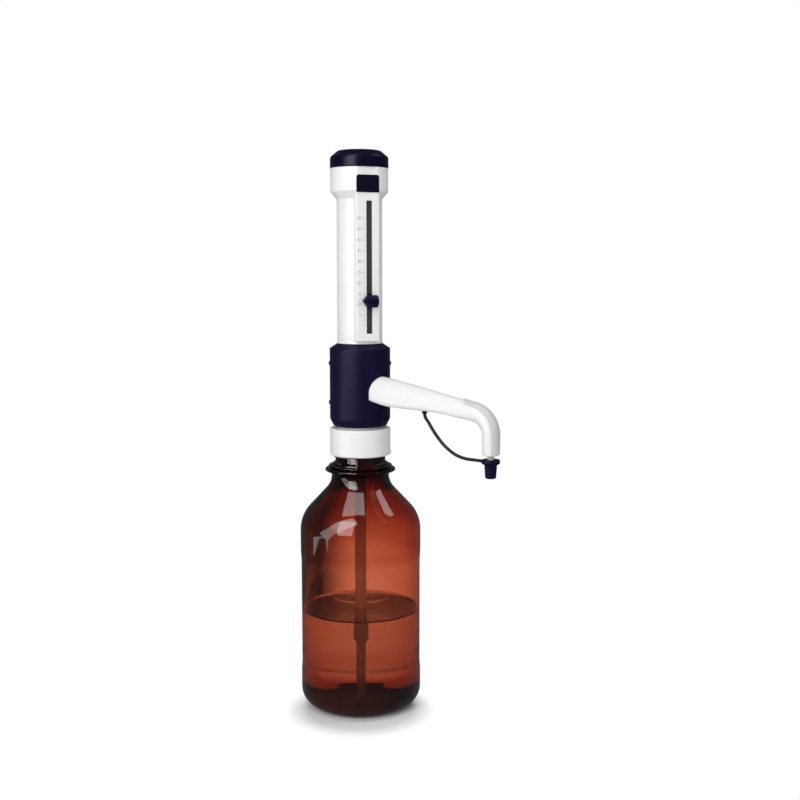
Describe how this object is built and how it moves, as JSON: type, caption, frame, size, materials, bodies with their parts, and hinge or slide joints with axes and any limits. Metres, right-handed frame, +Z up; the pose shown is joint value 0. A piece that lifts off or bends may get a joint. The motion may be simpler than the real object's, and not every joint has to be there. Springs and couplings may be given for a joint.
{
  "type": "bottle-top dispenser",
  "caption": "Bottle-top dispenser on an amber reservoir bottle: a lifting piston sleeve with a volume pointer, a valve housing, a discharge arm and a capped nozzle.",
  "frame": {"origin": "centre of the bottle's flat base, on the bottle's axis, at the level of the table", "axes": "+Z up along the bottle's axis, +X along the discharge arm towards the nozzle, +Y to complete a right-handed frame"},
  "size_m": [0.1916, 0.101, 0.4639],
  "materials": {
    "amber_glass": "smooth, deep red-brown, see-through",
    "black_rubber": "matte",
    "ivory_plastic": "waxy fluoropolymer",
    "white_plastic": "satin moulded",
    "navy_plastic": "satin moulded",
    "ceramic_parts": "ground",
    "valve_balls": "polished",
    "clear_tube": "milky fluoropolymer tube",
    "clear_glass": "polished",
    "dark_grey_plastic": "matte",
    "light_grey_plastic": "satin moulded",
    "pointer_blue": "satin moulded",
    "label_blue": "satin plate",
    "steel": "machined"
  },
  "bodies": {
    "reservoir": {"bottle": "amber_glass"},
    "neck_seat": {"mouth_gasket": "black_rubber", "swivel_hub": "ivory_plastic"},
    "collar": {"adapter_collar": "white_plastic", "vent_plug": "white_plastic"},
    "instrument": {"swivel_retainer": "ivory_plastic", "valve_housing": "navy_plastic", "housing_clips": "navy_plastic", "valve_block": "ivory_plastic", "suction_seat": "ceramic_parts", "discharge_valve": "ivory_plastic", "discharge_plug": "ivory_plastic", "tube_nut": "ivory_plastic", "filling_tube_upper": "clear_tube", "barrel_gasket": "ivory_plastic", "glass_barrel": "clear_glass", "guard_flange": "white_plastic", "barrel_guard": "white_plastic", "barrel_clamp_nut": "dark_grey_plastic", "rod_guide": "ivory_plastic", "arm_shell": "white_plastic", "nozzle_hood": "light_grey_plastic", "discharge_tube": "clear_tube", "discharge_nut": "ivory_plastic", "nozzle_tip": "clear_tube", "tether": "black_rubber", "tether_anchor": "black_rubber"},
    "suction_valve_ball": {"suction_ball": "valve_balls"},
    "discharge_valve_ball": {"discharge_ball": "valve_balls"},
    "tube_extension": {"filling_tube_lower": "clear_tube"},
    "nozzle_closure": {"nozzle_cap": "navy_plastic"},
    "plunger": {"outer_sleeve": "white_plastic", "rack_strip": "dark_grey_plastic", "head_shell": "white_plastic", "label_plate": "label_blue", "piston_rod": "ceramic_parts", "piston": "ivory_plastic", "piston_seals": "black_rubber", "rod_nut": "steel"},
    "pointer_carriage": {"volume_slider": "pointer_blue"},
    "pointer_button": {"pointer_knob": "pointer_blue"},
    "calibration_wheel": {"calibration_nut": "dark_grey_plastic"},
    "cover": {"top_cap": "navy_plastic"}
  },
  "joints": [
    {"name": "unscrew_lift", "type": "slide", "parent": "reservoir", "child": "neck_seat", "axis": [0, 0, 1], "range_m": [0, 0.01]},
    {"name": "collar_turn", "type": "hinge", "parent": "neck_seat", "child": "collar", "pos_m": [0, 0, 0.225], "axis": [0, 0, 1], "range_deg": [0, 900]},
    {"name": "instrument_swivel", "type": "hinge", "parent": "neck_seat", "child": "instrument", "pos_m": [0, 0, 0.24], "axis": [0, 0, 1], "continuous": true},
    {"name": "piston_lift", "type": "slide", "parent": "instrument", "child": "plunger", "axis": [0, 0, 1], "range_m": [0, 0.086]},
    {"name": "volume_set", "type": "slide", "parent": "plunger", "child": "pointer_carriage", "axis": [0, 0, 1], "range_m": [-0.019, 0.067]},
    {"name": "pointer_press", "type": "slide", "parent": "pointer_carriage", "child": "pointer_button", "axis": [-0.866, 0.5, 0], "range_m": [0, 0.0012], "stiffness_N_per_m": 400},
    {"name": "calibration_turn", "type": "hinge", "parent": "plunger", "child": "calibration_wheel", "pos_m": [0, 0, 0.436], "axis": [0, 0, 1], "range_deg": [-180, 180]},
    {"name": "top_cap_pull", "type": "slide", "parent": "plunger", "child": "cover", "axis": [0, 0, 1], "range_m": [0, 0.012]},
    {"name": "nozzle_cap_pull", "type": "slide", "parent": "instrument", "child": "nozzle_closure", "axis": [0, 0, -1], "range_m": [0, 0.022], "deforming": ["tether"]},
    {"name": "suction_ball_lift", "type": "slide", "parent": "instrument", "child": "suction_valve_ball", "axis": [0, 0, 1], "range_m": [0, 0.0012]},
    {"name": "discharge_ball_lift", "type": "slide", "parent": "instrument", "child": "discharge_valve_ball", "axis": [0, 0, 1], "range_m": [0, 0.0012]},
    {"name": "tube_extend", "type": "slide", "parent": "instrument", "child": "tube_extension", "axis": [0, 0, 1], "range_m": [-0.002, 0.05]}
  ],
  "couplings": [
    {"joint": "collar_turn", "follows": "unscrew_lift", "rad_per_m": 1570.8}
  ]
}
